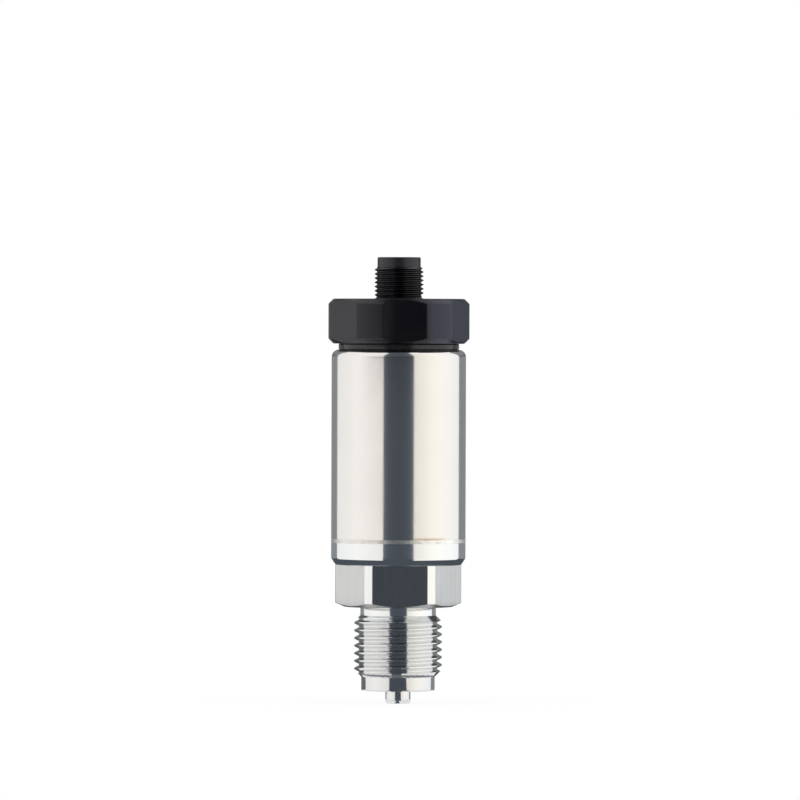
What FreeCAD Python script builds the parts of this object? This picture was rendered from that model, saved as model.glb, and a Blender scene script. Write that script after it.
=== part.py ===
import FreeCAD, Part
import math
import os

# Pressure transmitter with a G1/2 B stem, a welded steel housing and a
# plastic hexagon cap that carries a four-pin M12 plug.
# Millimetres, +Z up. The origin is the centre of the sealing face under the
# steel hexagon. Its front flat faces -Y.

# Process stem, from the sealing face downwards
stem_length = 20.0
pilot_dia = 17.5
pilot_length = 3.3
spigot_dia = 6.0
spigot_length = 3.0
port_dia = 3.5
relief_dia = 18.0
relief_length = 2.05
edge_break = 0.4
fine_break = 0.25

# G1/2 B pipe thread: 14 turns to the inch, 55 degree flanks
thread_major = 20.955
thread_pitch = 25.4 / 14
thread_flank_angle = 55.0
thread_depth_ratio = 0.640327
thread_crest_ratio = 1 / 6
thread_groove_excess = 0.35
thread_turn = 112.0

# Steel hexagon and collar
process_hex_height = 10.0
process_hex_rounding = 3.0
process_hex_face_step = 2.3
process_hex_bevel = 30.0
cone_height = 1.5
cone_step = 1.0
collar_height = 4.2
register_height = 2.5

# Steel housing tube
tube_dia = 32.0
tube_wall = 1.6
tube_height = 45.5
tube_head = 4.0
tube_ledge = 2.3
tube_shoulder = 1.8
weld_depth = 0.8
weld_half_width = 0.45
weld_rise = 0.05

# Ceramic pressure cell and what clamps it
cell_dia = 18.0
cell_height = 6.35
cell_floor = 5.0
cell_notch = 0.8
cell_notches = 3
membrane_recess = 0.3
o_ring_cord = 1.78
o_ring_squeezed = 1.35
gland_outer_dia = 16.8
gland_width = 2.5
clamp_bore = 13.2
thrust_thickness = 1.0
retainer_dia = 20.0
retainer_height = 3.5
retainer_travel = 0.3
spanner_slots = 4
spanner_slot_width = 2.0
spanner_slot_depth = 1.2
cell_pin_side = 0.64
cell_pin_pitch = 2.54
cell_pins = 4
cell_pin_lap = 5.0
cell_pin_gap = 0.34

# Electronics and their plastic carrier
board_thickness = 1.6
board_corner_wall = 0.5
board_rim_gap = 0.3
board_sunk = 0.7
board_top_gap = 3.2
tongue_corner_gap = 1.26
column_margin = 3.3
carrier_base = 2.5
carrier_width = 3.6
rail_height = 5.5
rail_grip = 1.4
rail_cheek = 2.0
sleeve_wall = 0.35
sleeve_top_gap = 2.2
lead_thickness = 0.2
lead_width = 0.4
body_lift = 0.1
processor_side = 7.0
processor_height = 1.0
chip_width = 4.0
chip_length = 5.0
chip_height = 1.5
chip_reach = 1.1
chip_pitch = 1.27
regulator_width = 3.5
regulator_length = 6.5
regulator_height = 1.6
regulator_reach = 1.6
regulator_pitch = 2.3
choke_side = 6.0
choke_height = 3.0
capacitor_width = 4.3
capacitor_length = 7.3
capacitor_height = 2.8
diode_width = 3.6
diode_length = 4.6
diode_height = 2.3
resistor_width = 0.8
resistor_length = 1.6
resistor_height = 0.6
resistor_pitch = 2.13

# Places on the board, as shares of the height of its wide part
processor_level = 0.43
chip_level = 0.585
regulator_level = 0.7
choke_level = 0.83
capacitor_level = 0.31
diode_level = 1.11
diode_spread = 0.65
resistor_rows = ((0.24, 4), (1.28, 3))

# Earth spring between the board and the tube
spring_width = 3.0
spring_thickness = 0.3
spring_foot = 6.0
spring_rise = 2.6
spring_lip = 0.8

# Neck between the tube and the cap
seal_inset = 1.7
seal_thickness = 1.4
circlip_thickness = 1.2
circlip_radial = 1.9
circlip_groove = 0.55
circlip_gap = 5.0
circlip_lug = 3.0
circlip_eye = 1.2

# Plastic hexagon cap
cap_hex_rounding = 1.6
cap_hex_height = 10.7
cap_bevel = 1.2
cap_turn = 4.0
shank_length = 7.4
cap_wall = 2.7
cap_roof = 2.3

# M12 plug
plug_length = 9.9
plug_thread_dia = 11.7
plug_tip_dia = 10.3
plug_tip_length = 2.45
plug_root_fillet = 0.6
plug_lead_in = 0.5
socket_dia = 8.6
socket_depth = 8.5
key_width = 1.4
key_height = 0.6
key_setback = 0.6
key_angle = 135.0
pin_dia = 1.0
pin_circle = 5.6
pin_tail_dia = 0.8
pin_collar_dia = 1.6
pin_collar_height = 0.6
pin_nose = 0.25
pin_setback = 1.0
pin_count = 4
flange_dia = 13.0
flange_thickness = 2.0
seal_ring_depth = 0.6
seal_ring_width = 1.3

# Clearances, each on the radius or on one side
running_fit = 0.1
close_fit = 0.05
press_fit = 0.02
loose_fit = 0.15

# Places along the axis, from the chain of sizes above
origin = FreeCAD.Vector(0, 0, 0)
axis = FreeCAD.Vector(0, 0, 1)
pilot_end = -stem_length
spigot_end = pilot_end - spigot_length
thread_end = pilot_end + pilot_length
hex_top = process_hex_height
cone_top = hex_top + cone_height
weld_level = cone_top + collar_height
register_top = weld_level + register_height
tube_top = weld_level + tube_height
head_underside = tube_top - tube_head
cap_bottom = tube_top + seal_thickness
cap_top = cap_bottom + cap_hex_height
plug_top = cap_top + plug_length
shank_bottom = cap_bottom - shank_length
cavity_roof = cap_top - cap_roof
socket_floor = plug_top - socket_depth
flange_bottom = cavity_roof - flange_thickness
contact_board_top = flange_bottom - pin_collar_height
contact_board_bottom = contact_board_top - board_thickness
cell_top = cell_floor + cell_height
thrust_top = cell_top + thrust_thickness
retainer_top = thrust_top + retainer_height
board_bottom = register_top + carrier_base - board_sunk
board_shoulder = shank_bottom - board_top_gap
sleeve_top = shank_bottom - sleeve_top_gap

# Radii that follow from the fits
tube_inner_r = tube_dia / 2 - tube_wall
register_r = tube_inner_r - running_fit
pocket_r = cell_dia / 2 + loose_fit
retainer_bore_r = retainer_dia / 2 + close_fit
neck_r = tube_inner_r - tube_ledge
shank_r = neck_r - running_fit
cavity_r = shank_r - cap_wall
sleeve_r = tube_inner_r - running_fit
carrier_r = sleeve_r - sleeve_wall - close_fit
thread_r = thread_major / 2
weld_r = tube_dia / 2
process_corner_r = weld_r - cone_step
process_hex_flats = 2 * process_corner_r - process_hex_rounding
cap_hex_flats = tube_dia
cap_corner_r = (cap_hex_flats + cap_hex_rounding) / 2
pin_reach = ((cell_pins - 1) * cell_pin_pitch + cell_pin_side) / 2
board_front = -math.sqrt((clamp_bore / 2 - cell_pin_gap) ** 2 - pin_reach ** 2)
board_back = board_front - board_thickness
board_half = math.sqrt((carrier_r - board_corner_wall) ** 2 - board_back ** 2)
tongue_half = math.sqrt((cavity_r - tongue_corner_gap) ** 2 - board_back ** 2)


def turned(outline):
    """Solid of revolution round the axis from a closed list of (radius, height)."""
    corners = [FreeCAD.Vector(r, 0, z) for r, z in outline]
    face = Part.Face(Part.makePolygon(corners + corners[:1]))
    return face.revolve(origin, axis, 360)


def ring(inner_r, outer_r, low, high):
    """Plain ring or, with no inner radius, a disc."""
    disc = Part.makeCylinder(outer_r, high - low, FreeCAD.Vector(0, 0, low))
    if inner_r > 0:
        disc = disc.cut(Part.makeCylinder(inner_r, high - low, FreeCAD.Vector(0, 0, low)))
    return disc


def block(x_range, y_range, z_range):
    """Upright box between three pairs of limits."""
    size = [high - low for low, high in (x_range, y_range, z_range)]
    corner = FreeCAD.Vector(x_range[0], y_range[0], z_range[0])
    return Part.makeBox(size[0], size[1], size[2], corner)


def hexagon(across_flats, low, high, turn):
    """Hexagonal prism whose front flat faces -Y before it is turned."""
    corner_r = across_flats / math.sqrt(3)
    corners = []
    for k in range(6):
        angle = math.radians(60 * k + turn)
        corners.append(FreeCAD.Vector(corner_r * math.cos(angle), corner_r * math.sin(angle), low))
    face = Part.Face(Part.makePolygon(corners + corners[:1]))
    return face.extrude(FreeCAD.Vector(0, 0, high - low))


def around(shape, count, start=0.0):
    """Copies of a shape at equal steps round the axis."""
    copies = []
    for k in range(count):
        copy = shape.copy()
        copy.rotate(origin, axis, start + 360 * k / count)
        copies.append(copy)
    return copies


def circle_edges(shape, radius, height):
    """Full-circle edges of one radius at one height."""
    found = []
    for edge in shape.Edges:
        box = edge.BoundBox
        level = abs(box.ZMin - height) < 0.01 and abs(box.ZMax - height) < 0.01
        if level and abs(box.XMax - radius) < 0.01:
            found.append(edge)
    return found


def one_solid(shape):
    """The single solid that a cut or a fuse leaves, with its faces merged."""
    solid = shape.removeSplitter().Solids
    assert len(solid) == 1, "expected one solid"
    return solid[0]


def save(name, shape):
    shape.exportStep("parts/" + name + ".step")


def thread_groove(low, high):
    """Whitworth groove swept along a right-hand helix, to be cut from the stem."""
    depth = thread_depth_ratio * thread_pitch
    crest = thread_crest_ratio * thread_pitch
    slope = math.tan(math.radians(thread_flank_angle / 2))
    root_r = thread_r - depth
    outer_r = thread_r + thread_groove_excess * crest
    root_half = (thread_pitch - crest) / 2 - depth * slope
    outer_half = root_half + (outer_r - root_r) * slope
    section = [(root_r, -root_half), (outer_r, -outer_half), (outer_r, outer_half), (root_r, root_half)]
    corners = [FreeCAD.Vector(r, 0, z) for r, z in section]
    helix = Part.makeLongHelix(thread_pitch, high - low, thread_r)
    tool = helix.makePipeShell([Part.makePolygon(corners + corners[:1])], True, True)
    tool.rotate(origin, axis, thread_turn)
    tool.translate(FreeCAD.Vector(0, 0, low))
    return tool


def process_connection():
    """Stem, hexagon, collar and cell pocket turned from one bar."""
    bevel_rise = process_hex_face_step * math.tan(math.radians(process_hex_bevel))
    corner_r = process_corner_r
    blank_step = thread_r - pilot_dia / 2
    relief_step = thread_r - relief_dia / 2
    stem = turned([
        (0, spigot_end),
        (spigot_dia / 2 - fine_break, spigot_end),
        (spigot_dia / 2, spigot_end + fine_break),
        (spigot_dia / 2, pilot_end),
        (pilot_dia / 2 - edge_break, pilot_end),
        (pilot_dia / 2, pilot_end + edge_break),
        (pilot_dia / 2, thread_end),
        (thread_r, thread_end + blank_step),
        (thread_r, -relief_length - relief_step),
        (relief_dia / 2, -relief_length),
        (relief_dia / 2, 0),
        (0, 0)])
    stem = stem.cut(thread_groove(thread_end - thread_pitch / 2, -relief_length + thread_pitch / 2))
    facing = turned([
        (0, 0),
        (corner_r - process_hex_face_step, 0),
        (corner_r, bevel_rise),
        (corner_r, hex_top),
        (0, hex_top)])
    nut = hexagon(process_hex_flats, 0, hex_top, 0).common(facing)
    collar = turned([
        (0, hex_top),
        (corner_r, hex_top),
        (weld_r, cone_top),
        (weld_r, weld_level - weld_half_width),
        (weld_r - weld_depth, weld_level),
        (register_r, weld_level),
        (register_r, register_top - fine_break),
        (register_r - fine_break, register_top),
        (0, register_top)])
    gland_r = gland_outer_dia / 2
    pocket = turned([
        (0, spigot_end),
        (port_dia / 2, spigot_end),
        (port_dia / 2, cell_floor - membrane_recess),
        (gland_r - gland_width, cell_floor - membrane_recess),
        (gland_r - gland_width, cell_floor - o_ring_squeezed),
        (gland_r, cell_floor - o_ring_squeezed),
        (gland_r, cell_floor),
        (pocket_r, cell_floor),
        (pocket_r, thrust_top - retainer_travel),
        (retainer_bore_r, thrust_top - retainer_travel),
        (retainer_bore_r, register_top - edge_break),
        (retainer_bore_r + edge_break, register_top),
        (0, register_top)])
    return one_solid(stem.fuse([nut, collar]).cut(pocket))


def housing_tube():
    """Tube with a thick head, its outer top edge rounded."""
    tube = turned([
        (tube_inner_r, weld_level),
        (weld_r - weld_depth, weld_level),
        (weld_r, weld_level + weld_half_width),
        (weld_r, tube_top),
        (neck_r, tube_top),
        (neck_r, head_underside),
        (tube_inner_r, head_underside)])
    return one_solid(tube.makeFillet(tube_shoulder, circle_edges(tube, weld_r, tube_top)))


def weld_seam():
    """Bead that fills the V between collar and tube and stands slightly proud."""
    low = FreeCAD.Vector(weld_r, 0, weld_level - weld_half_width)
    crown = FreeCAD.Vector(weld_r + weld_rise, 0, weld_level)
    high = FreeCAD.Vector(weld_r, 0, weld_level + weld_half_width)
    root = FreeCAD.Vector(weld_r - weld_depth, 0, weld_level)
    bead = Part.Arc(low, crown, high).toShape()
    sides = Part.makePolygon([high, root, low])
    face = Part.Face(Part.Wire([bead] + sides.Edges))
    return face.revolve(origin, axis, 360)


def cell_o_ring():
    """Round cord squeezed to a flat-sided section of the same area."""
    cord_r = o_ring_cord / 2
    end_r = o_ring_squeezed / 2
    flat = math.pi * (cord_r ** 2 - end_r ** 2) / o_ring_squeezed
    middle = cell_floor - end_r
    outer = gland_outer_dia / 2 - end_r
    inner = outer - flat
    top = cell_floor
    bottom = cell_floor - o_ring_squeezed
    outer_low = FreeCAD.Vector(outer, 0, bottom)
    outer_high = FreeCAD.Vector(outer, 0, top)
    inner_low = FreeCAD.Vector(inner, 0, bottom)
    inner_high = FreeCAD.Vector(inner, 0, top)
    right = Part.Arc(outer_low, FreeCAD.Vector(outer + end_r, 0, middle), outer_high).toShape()
    left = Part.Arc(inner_high, FreeCAD.Vector(inner - end_r, 0, middle), inner_low).toShape()
    upper = Part.makeLine(outer_high, inner_high)
    lower = Part.makeLine(inner_low, outer_low)
    face = Part.Face(Part.Wire([right, upper, left, lower]))
    return face.revolve(origin, axis, 360)


def ceramic_cell():
    """Ceramic disc with its membrane below and three key notches in the rim."""
    disc = turned([
        (0, cell_floor),
        (cell_dia / 2 - fine_break, cell_floor),
        (cell_dia / 2, cell_floor + fine_break),
        (cell_dia / 2, cell_top - fine_break),
        (cell_dia / 2 - fine_break, cell_top),
        (0, cell_top)])
    place = FreeCAD.Vector(0, cell_dia / 2, cell_floor + cell_height / 2)
    notch = Part.makeCylinder(cell_notch, cell_height, place)
    return one_solid(disc.cut(around(notch, cell_notches)))


def cell_thrust_ring():
    return ring(clamp_bore / 2, cell_dia / 2 - close_fit, cell_top, thrust_top)


def retaining_ring():
    """Screwed ring with spanner slots across its upper face."""
    outer_r = retainer_dia / 2
    body = turned([
        (clamp_bore / 2, thrust_top),
        (outer_r - edge_break, thrust_top),
        (outer_r, thrust_top + edge_break),
        (outer_r, retainer_top - edge_break),
        (outer_r - edge_break, retainer_top),
        (clamp_bore / 2, retainer_top)])
    half = spanner_slot_width / 2
    slot = block((0, outer_r), (-half, half), (retainer_top - spanner_slot_depth, retainer_top))
    return one_solid(body.cut(around(slot, spanner_slots, 180 / spanner_slots)))


def cell_pin(index):
    """Square pin from the cell to the lower edge of the board."""
    x = (index - (cell_pins - 1) / 2) * cell_pin_pitch
    half = cell_pin_side / 2
    depth = (board_front, board_front + cell_pin_side)
    return block((x - half, x + half), depth, (cell_top, board_bottom + cell_pin_lap))


def board_carrier():
    """Moulded ring with a slotted rail at each edge of the board."""
    base_top = register_top + carrier_base
    base = ring(carrier_r - carrier_width, carrier_r, register_top, base_top)
    cheeks = (board_back - rail_cheek, board_front + rail_cheek)
    rails = []
    for side in (-1, 1):
        reach = sorted((side * (board_half - rail_grip), side * carrier_r))
        rails.append(block(reach, cheeks, (register_top, base_top + rail_height)))
    limit = Part.makeCylinder(carrier_r, tube_height, FreeCAD.Vector(0, 0, register_top))
    body = base.fuse([rail.common(limit) for rail in rails])
    half = board_half + close_fit
    groove = (board_back - close_fit, board_front + close_fit)
    slot = block((-half, half), groove, (board_bottom, base_top + rail_height))
    return one_solid(body.cut(slot))


def main_board():
    """Board on edge, with a tongue that reaches up into the cap."""
    thickness = (board_back, board_front)
    plate = block((-board_half, board_half), thickness, (board_bottom, board_shoulder))
    tongue = block((-tongue_half, tongue_half), thickness, (board_shoulder, contact_board_top))
    return one_solid(plate.fuse(tongue))


def board_level(share):
    """Height at a share of the way up the wide part of the board."""
    return board_bottom + share * (board_shoulder - board_bottom)


def on_board(x, z, width, height, thickness, lift=0.0):
    """Component body on the front of the board, its outer edges softened."""
    back = board_front + lift
    body = block(
        (x - width / 2, x + width / 2), (back, back + thickness), (z - height / 2, z + height / 2))
    front = [edge for edge in body.Edges if edge.BoundBox.YMin > back + thickness - 0.01]
    return body.makeChamfer(fine_break, front)


def leads(x, z, body_width, reach, thickness, pitch, count):
    """Bent legs on both sides of a body, from its middle down to the board."""
    shapes = []
    offsets = [pitch * (k - (count - 1) / 2) for k in range(count)]
    middle = board_front + body_lift + thickness / 2
    for side in (-1, 1):
        start = x + side * (body_width / 2 - lead_thickness)
        bend = x + side * (body_width / 2 + reach / 2)
        end = x + side * (body_width / 2 + reach)
        for offset in offsets:
            span = (z + offset - lead_width / 2, z + offset + lead_width / 2)
            knee = bend + side * lead_thickness
            arm = block(sorted((start, knee)), (middle, middle + lead_thickness), span)
            leg = block(sorted((bend, knee)), (board_front, middle + lead_thickness), span)
            foot = block(sorted((bend, end)), (board_front, board_front + lead_thickness), span)
            shapes.extend([arm, leg, foot])
    return shapes


def leaded_chip(x, z):
    """Small outline package with four legs a side."""
    body = on_board(x, z, chip_width, chip_length, chip_height, body_lift)
    legs = leads(x, z, chip_width, chip_reach, chip_height, chip_pitch, 4)
    return one_solid(body.fuse(legs))


def voltage_regulator(x, z):
    """Regulator with three legs on one side and three on the other."""
    body = on_board(x, z, regulator_width, regulator_length, regulator_height, body_lift)
    legs = leads(x, z, regulator_width, regulator_reach, regulator_height, regulator_pitch, 3)
    return one_solid(body.fuse(legs))


def chip_resistors():
    """Small resistors, a row of four low on the board and a row of three on the tongue."""
    pieces = []
    for share, count in resistor_rows:
        for k in range(count):
            x = (k - (count - 1) / 2) * resistor_pitch
            z = board_level(share)
            pieces.append(on_board(x, z, resistor_width, resistor_length, resistor_height))
    return Part.makeCompound(pieces)


def earth_spring():
    """Bent strip from the back of the board to the wall of the tube."""
    back = board_back
    front = back - spring_thickness
    touch = -(tube_inner_r - running_fit)
    foot_low = board_shoulder - spring_foot
    tip = board_shoulder + spring_rise
    rise = spring_thickness
    corners = [
        (back, foot_low),
        (back, board_shoulder),
        (touch + spring_thickness, tip - spring_lip),
        (touch + spring_thickness, tip),
        (touch, tip),
        (touch, tip - spring_lip - rise),
        (front, board_shoulder - rise),
        (front, foot_low)]
    half = spring_width / 2
    points = [FreeCAD.Vector(-half, y, z) for y, z in corners]
    face = Part.Face(Part.makePolygon(points + points[:1]))
    return face.extrude(FreeCAD.Vector(spring_width, 0, 0))


def insulating_sleeve():
    return ring(sleeve_r - sleeve_wall, sleeve_r, register_top, sleeve_top)


def neck_seal():
    return ring(neck_r, weld_r - seal_inset, tube_top, cap_bottom)


def cap_circlip():
    """Open spring ring under the tube head, with an eye at each end."""
    inner_r = shank_r - circlip_groove
    outer_r = inner_r + circlip_radial
    low = head_underside - circlip_thickness
    body = ring(inner_r, outer_r, low, head_underside)
    lug_x = circlip_gap / 2 + circlip_lug / 2
    limit = ring(neck_r, tube_inner_r - running_fit, low, head_underside)
    mouth = block((-circlip_gap / 2, circlip_gap / 2), (0, tube_dia), (low, head_underside))
    lugs = []
    eyes = []
    for side in (-1, 1):
        centre_y = math.sqrt((shank_r + circlip_eye) ** 2 - lug_x ** 2)
        place = FreeCAD.Vector(side * lug_x, centre_y, low)
        lug = Part.makeCylinder(circlip_lug / 2, circlip_thickness, place)
        lugs.append(lug.common(limit))
        eyes.append(Part.makeCylinder(circlip_eye / 2, circlip_thickness, place))
    return one_solid(body.fuse(lugs).cut(eyes + [mouth]))


def hex_cap():
    """Moulded hexagon, plug collar and hollow shank in one piece."""
    flat_r = cap_corner_r
    facing = turned([
        (0, cap_bottom),
        (flat_r - cap_bevel, cap_bottom),
        (flat_r, cap_bottom + cap_bevel),
        (flat_r, cap_top - cap_bevel),
        (flat_r - cap_bevel, cap_top),
        (0, cap_top)])
    head = hexagon(cap_hex_flats, cap_bottom, cap_top, cap_turn).common(facing)
    tip_low = plug_top - plug_tip_length
    plug = turned([
        (0, cap_top),
        (plug_thread_dia / 2, cap_top),
        (plug_thread_dia / 2, tip_low - plug_lead_in),
        (plug_tip_dia / 2, tip_low),
        (plug_tip_dia / 2, plug_top - fine_break),
        (plug_tip_dia / 2 - fine_break, plug_top),
        (0, plug_top)])
    groove_high = head_underside + running_fit
    groove_low = head_underside - circlip_thickness
    groove_r = shank_r - circlip_groove
    shank = turned([
        (0, shank_bottom),
        (shank_r - edge_break, shank_bottom),
        (shank_r, shank_bottom + edge_break),
        (shank_r, groove_low),
        (groove_r, groove_low),
        (groove_r, groove_high),
        (shank_r, groove_high),
        (shank_r, cap_bottom),
        (0, cap_bottom)])
    body = one_solid(head.fuse([plug, shank]))
    body = body.makeFillet(plug_root_fillet, circle_edges(body, plug_thread_dia / 2, cap_top))
    hollow = turned([
        (0, shank_bottom),
        (cavity_r, shank_bottom),
        (cavity_r, cavity_roof),
        (socket_dia / 2, cavity_roof),
        (socket_dia / 2, plug_top - fine_break),
        (socket_dia / 2 + fine_break, plug_top),
        (0, plug_top)])
    body = body.cut(hollow)
    inside = socket_dia / 2 - key_height
    half = key_width / 2
    outside = plug_tip_dia / 2 - fine_break
    key = block((inside, outside), (-half, half), (socket_floor, plug_top - key_setback))
    key.rotate(origin, axis, key_angle)
    return one_solid(body.fuse(key))


def contact_carrier():
    """Insulator with a flange below the roof and one hole for each contact."""
    boss_r = socket_dia / 2 - close_fit
    flange_r = flange_dia / 2
    seal_r = boss_r + edge_break
    body = turned([
        (0, flange_bottom),
        (flange_r, flange_bottom),
        (flange_r, cavity_roof),
        (seal_r + seal_ring_width, cavity_roof),
        (seal_r + seal_ring_width, cavity_roof - seal_ring_depth),
        (seal_r, cavity_roof - seal_ring_depth),
        (seal_r, cavity_roof),
        (boss_r, cavity_roof),
        (boss_r, socket_floor),
        (0, socket_floor)])
    place = FreeCAD.Vector(pin_circle / 2, 0, flange_bottom)
    hole = Part.makeCylinder(pin_dia / 2 + press_fit, socket_floor - flange_bottom, place)
    return one_solid(body.cut(around(hole, pin_count)))


def carrier_seal():
    inner_r = socket_dia / 2 - close_fit + edge_break
    return ring(inner_r, inner_r + seal_ring_width, cavity_roof - seal_ring_depth, cavity_roof)


def contact_pin(index):
    """Stepped contact with a rounded tip, soldered through its board."""
    tip = plug_top - pin_setback
    pin = turned([
        (0, contact_board_bottom - close_fit),
        (pin_tail_dia / 2, contact_board_bottom - close_fit),
        (pin_tail_dia / 2, contact_board_top),
        (pin_collar_dia / 2, contact_board_top),
        (pin_collar_dia / 2, flange_bottom),
        (pin_dia / 2, flange_bottom),
        (pin_dia / 2, tip - pin_nose),
        (pin_dia / 2 - pin_nose, tip),
        (0, tip)])
    pin.translate(FreeCAD.Vector(pin_circle / 2, 0, 0))
    pin.rotate(origin, axis, 360 * index / pin_count)
    return pin


def connector_board():
    """Round board under the plug, slotted for the tongue."""
    disc = ring(0, cavity_r - board_rim_gap, contact_board_bottom, contact_board_top)
    place = FreeCAD.Vector(pin_circle / 2, 0, contact_board_bottom)
    hole = Part.makeCylinder(pin_tail_dia / 2 + press_fit, board_thickness, place)
    half = tongue_half + close_fit
    depth = (board_back - close_fit, board_front + close_fit)
    slot = block((-half, half), depth, (contact_board_bottom, contact_board_top))
    return one_solid(disc.cut(around(hole, pin_count) + [slot]))


os.makedirs("parts", exist_ok=True)

save("process_connection", process_connection())
save("housing_tube", housing_tube())
save("weld_seam", weld_seam())
save("cell_o_ring", cell_o_ring())
save("ceramic_cell", ceramic_cell())
save("cell_thrust_ring", cell_thrust_ring())
save("retaining_ring", retaining_ring())
for number in range(cell_pins):
    save("cell_pin_" + str(number + 1), cell_pin(number))
save("board_carrier", board_carrier())
save("main_board", main_board())
column = board_half - column_margin
pair = diode_spread * diode_width
processor = on_board(0, board_level(processor_level), processor_side, processor_side, processor_height)
save("signal_processor", processor)
save("output_chip", leaded_chip(-column, board_level(chip_level)))
save("memory_chip", leaded_chip(column, board_level(chip_level)))
save("voltage_regulator", voltage_regulator(0, board_level(regulator_level)))
for number, side in enumerate((-1, 1), start=1):
    choke = on_board(side * column, board_level(choke_level), choke_side, choke_side, choke_height)
    low = board_level(capacitor_level)
    capacitor = on_board(side * column, low, capacitor_width, capacitor_length, capacitor_height)
    diode = on_board(side * pair, board_level(diode_level), diode_width, diode_length, diode_height)
    save("filter_choke_" + str(number), choke)
    save("tantalum_capacitor_" + str(number), capacitor)
    save("surge_diode_" + str(number), diode)
save("chip_resistors", chip_resistors())
save("earth_spring", earth_spring())
save("insulating_sleeve", insulating_sleeve())
save("connector_board", connector_board())
for number in range(pin_count):
    save("contact_pin_" + str(number + 1), contact_pin(number))
save("contact_carrier", contact_carrier())
save("carrier_seal", carrier_seal())
save("cap_circlip", cap_circlip())
save("neck_seal", neck_seal())
save("hex_cap", hex_cap())
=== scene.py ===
import math

import bmesh
import bpy
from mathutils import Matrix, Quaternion, Vector


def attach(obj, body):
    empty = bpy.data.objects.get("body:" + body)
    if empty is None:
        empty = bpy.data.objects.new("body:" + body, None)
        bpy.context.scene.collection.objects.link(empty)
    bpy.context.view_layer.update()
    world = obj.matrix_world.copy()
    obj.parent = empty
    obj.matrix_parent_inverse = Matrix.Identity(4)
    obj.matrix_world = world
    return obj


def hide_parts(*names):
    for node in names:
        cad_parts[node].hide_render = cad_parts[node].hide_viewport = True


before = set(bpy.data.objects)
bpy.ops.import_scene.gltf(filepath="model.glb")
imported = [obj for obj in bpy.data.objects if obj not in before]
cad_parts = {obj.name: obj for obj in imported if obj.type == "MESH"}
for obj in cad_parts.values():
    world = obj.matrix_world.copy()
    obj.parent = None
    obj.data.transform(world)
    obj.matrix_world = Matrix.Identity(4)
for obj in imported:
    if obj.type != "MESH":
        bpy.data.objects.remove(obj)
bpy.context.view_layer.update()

# Shapes are drawn in millimetres, in the frame's own axes, and brought to metres when done.
MM = 0.001
FULL_TURN = 2 * math.pi
UP = Vector((0, 0, 1))
ROUND_STEPS = 192

# Camera, as the photograph has it: angles in degrees, lengths in metres, the sensor in millimetres
CAMERA_AZIMUTH = -1.8
CAMERA_ELEVATION = 0.5
CAMERA_ROLL = 0.17
CAMERA_DISTANCE = 2.0
PICTURE_WIDTH = 0.1905
PICTURE_MIDDLE = (0.0003, 0.0492)
SENSOR_WIDTH = 36.0

# Levels in millimetres, from the sealing face under the steel hexagon
SPIGOT_END = -23.0
PILOT_END = -20.0
HEX_TOP = 10.0
CONE_TOP = 11.5
WELD_LEVEL = 15.7
REGISTER_TOP = 18.2
HEAD_BOTTOM = 57.2
TUBE_TOP = 61.2
CAP_BOTTOM = 62.6
CAVITY_ROOF = 71.0
CAP_TOP = 73.3
SOCKET_FLOOR = 74.7
MATT_TIP = 80.9
CONTACT_TOP = 82.2
KEY_TOP = 82.6
PLUG_TOP = 83.2

# Radii in millimetres
SPIGOT_R = 3.0
PORT_R = 1.75
PILOT_R = 8.75
STEM_CORE_R = 8.5
HEX_CORNER_R = 15.0
TUBE_R = 16.0
TUBE_BORE_R = 14.4
REGISTER_R = 14.3
GROOVE_FOOT_R = 15.2
HEAD_BORE_R = 12.1
NECK_R = 14.35
SHANK_R = 12.0
CAP_CORNER_R = 16.8
CAP_FACE_R = 15.6
PLUG_CORE_R = 5.15
SOCKET_R = 4.3
INSERT_R = 4.25
CONTACT_R = 0.5
CONTACT_CIRCLE_R = 2.8

# Widths across flats, and how far the cap's hexagon is turned, in degrees
HEX_FLATS = 27.0
CAP_FLATS = 32.0
CAP_TURN = 4.0

# The bevel under the steel hexagon: where it starts, and its rise for each millimetre outwards
BEVEL_START = 12.9
BEVEL_SLOPE = 0.45

# The weld's groove, and where the weld run ends over its start, in degrees from the front
GROOVE_DEPTH = 0.45
WELD_OVERLAP_TURN = 25.0

# G1/2 B thread of the stem and M12 thread of the plug
STEM_THREAD = {"major": 20.955, "pitch": 25.4 / 14, "flank": 27.5, "rounding": 0.2492}
STEM_THREAD_START = -20.18
STEM_THREAD_TURNS = 11
PLUG_THREAD = {"major": 11.7, "pitch": 1.0, "flank": 30.0, "rounding": 0.1263}
PLUG_THREAD_START = 71.2
PLUG_THREAD_TURNS = 12

CONTACT_COUNT = 4


def outwards(degrees):
    """A level direction, turned from the front towards the right."""
    angle = math.radians(degrees)
    return Vector((math.sin(angle), -math.cos(angle), 0))


def scaled(colour, factor):
    """A colour made lighter or darker."""
    return tuple(factor * part for part in colour)


def only(piece):
    """Makes one object the only one selected, and the active one."""
    bpy.ops.object.select_all(action="DESELECT")
    piece.select_set(True)
    bpy.context.view_layer.objects.active = piece


def apply_place(piece):
    """Moves an object's place, turn and scale into its mesh."""
    only(piece)
    bpy.ops.object.transform_apply(location=True, rotation=True, scale=True)


def apply_step(piece, step):
    """Applies one modifier of a piece."""
    only(piece)
    bpy.ops.object.modifier_apply(modifier=step.name)


def named(name):
    """Names the object that was just added, and its mesh."""
    piece = bpy.context.object
    piece.name = name
    piece.data.name = name
    return piece


def pick(piece, test):
    """In edit mode, selects the vertices whose place passes a test."""
    bpy.ops.mesh.select_mode(type="VERT")
    bpy.ops.mesh.select_all(action="DESELECT")
    mesh = bmesh.from_edit_mesh(piece.data)
    for vertex in mesh.verts:
        vertex.select = test(vertex.co)
    mesh.select_flush_mode()
    bmesh.update_edit_mesh(piece.data)


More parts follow.
